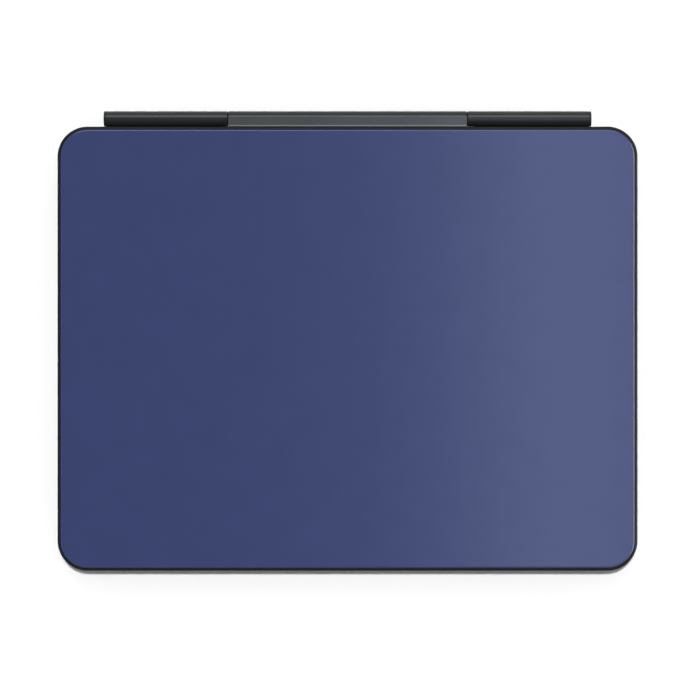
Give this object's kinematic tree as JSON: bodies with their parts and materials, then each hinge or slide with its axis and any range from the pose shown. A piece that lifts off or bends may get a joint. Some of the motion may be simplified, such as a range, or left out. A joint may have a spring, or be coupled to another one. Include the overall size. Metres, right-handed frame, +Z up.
{
  "type": "tablet keyboard case",
  "caption": "Slim folding case for a tablet, with a keyboard and trackpad in its base, a two-panel magnetic cover and a round friction hinge along the rear edge.",
  "frame": {"origin": "middle of the closed case's footprint, hinge included, on the underside of the base", "axes": "+X to the user's right, +Y to the rear where the hinge is, +Z up through the keyboard to the cover"},
  "size_m": [0.282, 0.2238, 0.0152],
  "materials": {
    "blue_sheet": "fine-grained synthetic leather, satin",
    "dark_rim": "satin black edge band",
    "dark_shell": "fine matte",
    "deck": "soft-touch matte",
    "key_cap": "fine matte",
    "trackpad_glass": "etched matte",
    "dark_metal": "satin dark anodised",
    "plate_metal": "satin grey anodised",
    "steel": "plain steel",
    "bronze": "sintered bush",
    "gold": "gold-plated contact",
    "circuit_board": "solder mask",
    "flex": "dark polyimide film",
    "membrane": "clear printed film",
    "silicone": "silicone",
    "link_plastic": "moulded",
    "core_board": "glass-fibre board",
    "lining": "microfibre",
    "magnet": "nickel-plated magnet"
  },
  "bodies": {
    "base": {"base_outer_sheet": "blue_sheet", "base_tray": "dark_shell", "top_deck": "deck", "key_support_plate": "steel", "membrane_sheet": "membrane", "dome_sheet": "silicone", "scissor_links": "link_plastic", "stabiliser_wires": "steel", "main_board": "circuit_board", "keyboard_ribbon": "flex", "trackpad_ribbon": "flex", "trackpad_frame": "steel", "trackpad_switch": "dark_shell", "plate_screws": "steel", "board_screws": "steel", "barrel_left": "dark_metal", "barrel_right": "dark_metal", "barrel_caps": "dark_metal", "seam_washers": "dark_shell", "hinge_bushes": "bronze", "friction_clips": "steel", "hinge_screws": "steel", "base_flex_cable": "flex"},
    "trackpad": {"trackpad_glass": "trackpad_glass", "trackpad_board": "circuit_board"},
    "keys_function_row": {"keys_function_row": "key_cap"},
    "keys_number_row": {"keys_number_row": "key_cap"},
    "key_backspace": {"key_backspace": "key_cap"},
    "key_tab": {"key_tab": "key_cap"},
    "keys_upper_row": {"keys_upper_row": "key_cap"},
    "key_caps_lock": {"key_caps_lock": "key_cap"},
    "keys_home_row": {"keys_home_row": "key_cap"},
    "key_return": {"key_return": "key_cap"},
    "key_left_shift": {"key_left_shift": "key_cap"},
    "keys_lower_row": {"keys_lower_row": "key_cap"},
    "key_right_shift": {"key_right_shift": "key_cap"},
    "keys_bottom_row": {"keys_bottom_row": "key_cap"},
    "key_space": {"key_space": "key_cap"},
    "keys_arrows": {"keys_arrows": "key_cap"},
    "lower_cover": {"hinge_tube": "dark_metal", "hinge_hubs": "plate_metal", "hinge_shafts": "steel", "shaft_clips": "steel", "hinge_plate": "plate_metal", "plate_rivets": "steel", "lower_core": "core_board", "lower_rim": "dark_rim", "lower_outer_sheet": "blue_sheet", "lower_lining": "lining", "cover_flex_cable": "flex"},
    "upper_cover": {"upper_core": "core_board", "upper_rim": "dark_rim", "upper_outer_sheet": "blue_sheet", "upper_lining": "lining", "holding_magnets": "magnet", "magnet_plates": "steel", "contact_block": "dark_shell", "contact_flex_cable": "flex"},
    "contact_pins": {"contact_pins": "gold"}
  },
  "joints": [
    {"name": "cover_hinge", "type": "hinge", "parent": "base", "child": "lower_cover", "pos_m": [0, 0.1082, 0.00895], "axis": [-1, 0, 0], "range_deg": [0, 95]},
    {"name": "cover_fold", "type": "hinge", "parent": "lower_cover", "child": "upper_cover", "pos_m": [0, 0.0321, 0.0152], "axis": [-1, 0, 0], "range_deg": [0, 38]},
    {"name": "trackpad_click", "type": "slide", "parent": "base", "child": "trackpad", "axis": [0, 0, -1], "range_m": [0, 0.0003], "stiffness_N_per_m": 2000, "springref_m": -0.0004},
    {"name": "press_keys_function_row", "type": "slide", "parent": "base", "child": "keys_function_row", "axis": [0, 0, -1], "range_m": [0, 0.001], "stiffness_N_per_m": 860, "springref_m": -0.0006},
    {"name": "press_keys_number_row", "type": "slide", "parent": "base", "child": "keys_number_row", "axis": [0, 0, -1], "range_m": [0, 0.001], "stiffness_N_per_m": 820, "springref_m": -0.0006},
    {"name": "press_key_backspace", "type": "slide", "parent": "base", "child": "key_backspace", "axis": [0, 0, -1], "range_m": [0, 0.001], "stiffness_N_per_m": 340, "springref_m": -0.0006},
    {"name": "press_key_tab", "type": "slide", "parent": "base", "child": "key_tab", "axis": [0, 0, -1], "range_m": [0, 0.001], "stiffness_N_per_m": 340, "springref_m": -0.0006},
    {"name": "press_keys_upper_row", "type": "slide", "parent": "base", "child": "keys_upper_row", "axis": [0, 0, -1], "range_m": [0, 0.001], "stiffness_N_per_m": 820, "springref_m": -0.0006},
    {"name": "press_key_caps_lock", "type": "slide", "parent": "base", "child": "key_caps_lock", "axis": [0, 0, -1], "range_m": [0, 0.001], "stiffness_N_per_m": 340, "springref_m": -0.0006},
    {"name": "press_keys_home_row", "type": "slide", "parent": "base", "child": "keys_home_row", "axis": [0, 0, -1], "range_m": [0, 0.001], "stiffness_N_per_m": 740, "springref_m": -0.0006},
    {"name": "press_key_return", "type": "slide", "parent": "base", "child": "key_return", "axis": [0, 0, -1], "range_m": [0, 0.001], "stiffness_N_per_m": 340, "springref_m": -0.0006},
    {"name": "press_key_left_shift", "type": "slide", "parent": "base", "child": "key_left_shift", "axis": [0, 0, -1], "range_m": [0, 0.001], "stiffness_N_per_m": 340, "springref_m": -0.0006},
    {"name": "press_keys_lower_row", "type": "slide", "parent": "base", "child": "keys_lower_row", "axis": [0, 0, -1], "range_m": [0, 0.001], "stiffness_N_per_m": 700, "springref_m": -0.0006},
    {"name": "press_key_right_shift", "type": "slide", "parent": "base", "child": "key_right_shift", "axis": [0, 0, -1], "range_m": [0, 0.001], "stiffness_N_per_m": 340, "springref_m": -0.0006},
    {"name": "press_keys_bottom_row", "type": "slide", "parent": "base", "child": "keys_bottom_row", "axis": [0, 0, -1], "range_m": [0, 0.001], "stiffness_N_per_m": 540, "springref_m": -0.0006},
    {"name": "press_key_space", "type": "slide", "parent": "base", "child": "key_space", "axis": [0, 0, -1], "range_m": [0, 0.001], "stiffness_N_per_m": 340, "springref_m": -0.0006},
    {"name": "press_keys_arrows", "type": "slide", "parent": "base", "child": "keys_arrows", "axis": [0, 0, -1], "range_m": [0, 0.001], "stiffness_N_per_m": 460, "springref_m": -0.0006},
    {"name": "contact_pin_travel", "type": "slide", "parent": "upper_cover", "child": "contact_pins", "axis": [0, 0, 1], "range_m": [0, 0.00025], "stiffness_N_per_m": 400, "springref_m": -0.0004}
  ]
}
